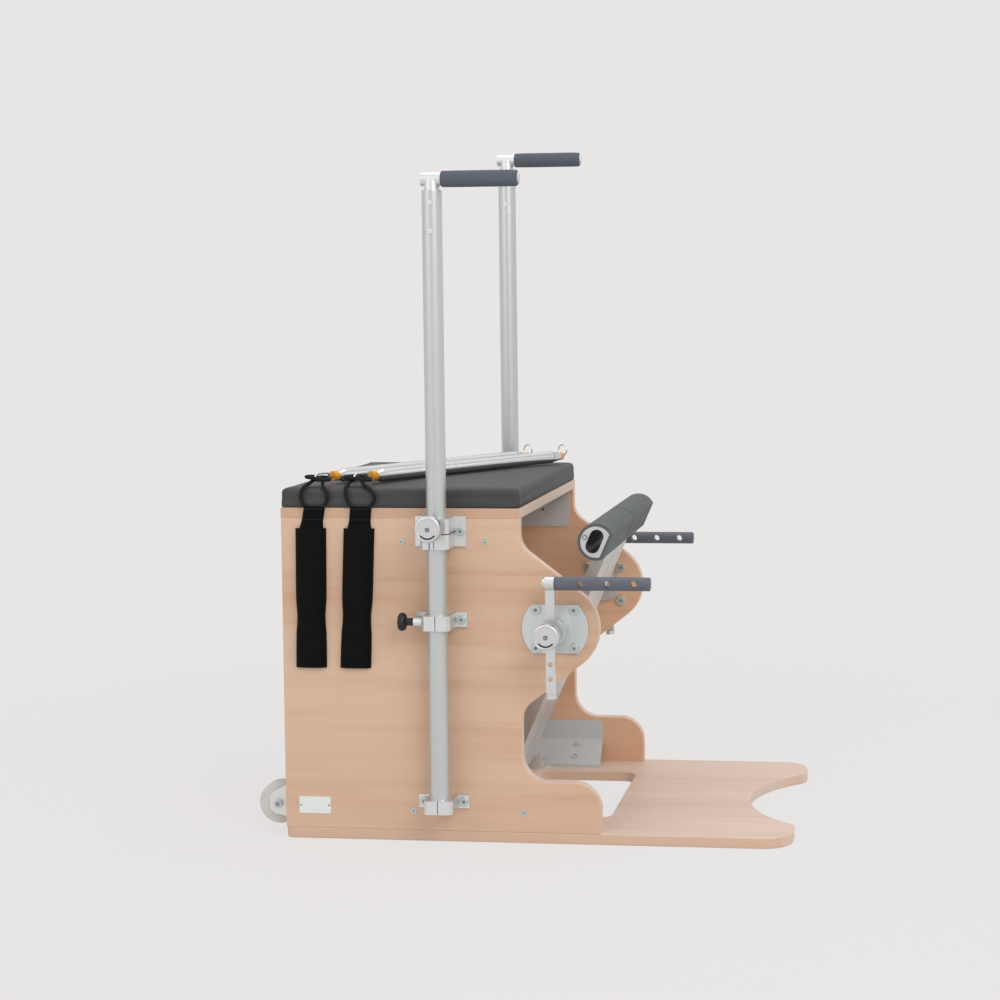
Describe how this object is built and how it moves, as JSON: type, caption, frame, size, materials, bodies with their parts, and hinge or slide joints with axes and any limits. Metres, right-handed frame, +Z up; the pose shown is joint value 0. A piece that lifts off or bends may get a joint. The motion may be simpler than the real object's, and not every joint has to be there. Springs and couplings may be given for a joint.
{
  "type": "pilates chair",
  "caption": "Pilates chair: beech ply box with a padded seat, sprung split pedal, handle poles, arm levers with pegs, transport wheels and loose arm springs with hand straps.",
  "frame": {"origin": "on the floor, under the middle of the chair's bounding box", "axes": "+X towards the pedal, +Y towards the sitter's left, +Z up"},
  "size_m": [1.019, 0.8148, 1.3252],
  "materials": {
    "beech_ply": "satin lacquer",
    "dark_vinyl": "satin",
    "folded_metal": "matte",
    "bright_steel": "bright",
    "satin_aluminium": "satin",
    "wheel_rubber": "matte",
    "grip_foam": "matte",
    "knob_metal": "satin",
    "black_plastic": "satin",
    "peg_paint": "satin",
    "pedal_rubber": "matte",
    "spring_steel": "bright",
    "orange_sleeve": "glossy",
    "black_cord": "woven",
    "black_webbing": "woven"
  },
  "bodies": {
    "frame": {"base_board": "beech_ply", "right_side_panel": "beech_ply", "left_side_panel": "beech_ply", "seat_board": "beech_ply", "seat_pad": "dark_vinyl", "base_brackets": "folded_metal", "seat_brackets": "folded_metal", "panel_screws": "bright_steel", "lower_rear_rail": "beech_ply", "upper_rear_rail": "beech_ply", "wheel_forks": "satin_aluminium", "wheel_axles": "bright_steel", "right_pole_clamps": "satin_aluminium", "left_pole_clamps": "satin_aluminium", "clamp_bolts": "bright_steel", "plunger_collars": "satin_aluminium", "hub_plates": "satin_aluminium", "hub_bolts": "bright_steel", "axle_blocks": "satin_aluminium", "pedal_axle": "bright_steel", "spring_anchors": "bright_steel", "right_pedal_spring": "spring_steel", "left_pedal_spring": "spring_steel", "badge_plate": "satin_aluminium"},
    "right_wheel": {"right_wheel": "wheel_rubber"},
    "right_pole": {"right_pole": "satin_aluminium", "right_tee": "satin_aluminium", "right_grip": "grip_foam"},
    "right_clamp_knob": {"right_clamp_knob": "knob_metal"},
    "right_plunger": {"right_plunger": "black_plastic"},
    "right_lever": {"right_lever": "satin_aluminium", "right_peg": "peg_paint"},
    "right_hub_knob": {"right_hub_knob": "knob_metal"},
    "right_pedal": {"right_pedal_arm": "satin_aluminium", "right_pedal_core": "satin_aluminium", "right_pedal_cover": "pedal_rubber"},
    "right_spring_link": {"right_spring_link": "bright_steel"},
    "left_wheel": {"left_wheel": "wheel_rubber"},
    "left_pole": {"left_pole": "satin_aluminium", "left_tee": "satin_aluminium", "left_grip": "grip_foam"},
    "left_clamp_knob": {"left_clamp_knob": "knob_metal"},
    "left_plunger": {"left_plunger": "black_plastic"},
    "left_lever": {"left_lever": "satin_aluminium", "left_peg": "peg_paint"},
    "left_hub_knob": {"left_hub_knob": "knob_metal"},
    "left_pedal": {"left_pedal_arm": "satin_aluminium", "left_pedal_core": "satin_aluminium", "left_pedal_cover": "pedal_rubber"},
    "left_spring_link": {"left_spring_link": "bright_steel"},
    "front_arm_set": {"front_arm_spring": "spring_steel", "front_spring_fittings": "spring_steel", "front_spring_sleeves": "orange_sleeve", "front_cord": "black_cord", "front_strap": "black_webbing"},
    "rear_arm_set": {"rear_arm_spring": "spring_steel", "rear_spring_fittings": "spring_steel", "rear_spring_sleeves": "orange_sleeve", "rear_cord": "black_cord", "rear_strap": "black_webbing"}
  },
  "joints": [
    {"name": "right_wheel_roll", "type": "hinge", "parent": "frame", "child": "right_wheel", "pos_m": [-0.4695, -0.245, 0.056], "axis": [0, 1, 0], "continuous": true},
    {"name": "right_pole_height", "type": "slide", "parent": "frame", "child": "right_pole", "axis": [0, 0, 1], "range_m": [0, 0.24]},
    {"name": "right_clamp_knob_turn", "type": "hinge", "parent": "frame", "child": "right_clamp_knob", "pos_m": [-0.1375, -0.38, 0.597], "axis": [0, -1, 0], "range_deg": [0, 90]},
    {"name": "right_plunger_pull", "type": "slide", "parent": "frame", "child": "right_plunger", "axis": [-1, 0, 0], "range_m": [0, 0.008], "stiffness_N_per_m": 800, "springref_m": -0.005},
    {"name": "right_lever_swing", "type": "hinge", "parent": "frame", "child": "right_lever", "pos_m": [0.0755, -0.3504, 0.403], "axis": [0, 1, 0], "range_deg": [-90, 90]},
    {"name": "right_hub_knob_turn", "type": "hinge", "parent": "right_lever", "child": "right_hub_knob", "pos_m": [0.0755, -0.38, 0.403], "axis": [0, -1, 0], "range_deg": [0, 90]},
    {"name": "right_pedal_press", "type": "hinge", "parent": "frame", "child": "right_pedal", "pos_m": [-0.0725, -0.073, 0.06], "axis": [0, 1, 0], "range_deg": [0, 65], "stiffness_Nm_per_rad": 30, "springref_deg": -34.38, "deforming": ["right_pedal_spring"]},
    {"name": "right_spring_link_swing", "type": "hinge", "parent": "right_pedal", "child": "right_spring_link", "pos_m": [-0.00708, -0.073, 0.21258], "axis": [0, 1, 0], "range_deg": [-60, 1]},
    {"name": "left_wheel_roll", "type": "hinge", "parent": "frame", "child": "left_wheel", "pos_m": [-0.4695, 0.245, 0.056], "axis": [0, 1, 0], "continuous": true},
    {"name": "left_pole_height", "type": "slide", "parent": "frame", "child": "left_pole", "axis": [0, 0, 1], "range_m": [-0.08, 0.16]},
    {"name": "left_clamp_knob_turn", "type": "hinge", "parent": "frame", "child": "left_clamp_knob", "pos_m": [-0.1375, 0.38, 0.597], "axis": [0, 1, 0], "range_deg": [0, 90]},
    {"name": "left_plunger_pull", "type": "slide", "parent": "frame", "child": "left_plunger", "axis": [-1, 0, 0], "range_m": [0, 0.008], "stiffness_N_per_m": 800, "springref_m": -0.005},
    {"name": "left_lever_swing", "type": "hinge", "parent": "frame", "child": "left_lever", "pos_m": [0.0755, 0.3504, 0.403], "axis": [0, 1, 0], "range_deg": [-90, 90]},
    {"name": "left_hub_knob_turn", "type": "hinge", "parent": "left_lever", "child": "left_hub_knob", "pos_m": [0.0755, 0.38, 0.403], "axis": [0, 1, 0], "range_deg": [0, 90]},
    {"name": "left_pedal_press", "type": "hinge", "parent": "frame", "child": "left_pedal", "pos_m": [-0.0725, 0.073, 0.06], "axis": [0, 1, 0], "range_deg": [0, 65], "stiffness_Nm_per_rad": 30, "springref_deg": -34.38, "deforming": ["left_pedal_spring"]},
    {"name": "left_spring_link_swing", "type": "hinge", "parent": "left_pedal", "child": "left_spring_link", "pos_m": [-0.00708, 0.073, 0.21258], "axis": [0, 1, 0], "range_deg": [-60, 1]},
    {"name": "front_arm_set_lift", "type": "slide", "parent": "frame", "child": "front_arm_set", "axis": [0, 0, 1], "range_m": [0, 0.25]},
    {"name": "rear_arm_set_lift", "type": "slide", "parent": "frame", "child": "rear_arm_set", "axis": [0, 0, 1], "range_m": [0, 0.25]}
  ],
  "couplings": [
    {"joint": "right_spring_link_swing", "follows": "right_pedal_press", "ratio": -0.8614},
    {"joint": "left_spring_link_swing", "follows": "left_pedal_press", "ratio": -0.8614}
  ]
}
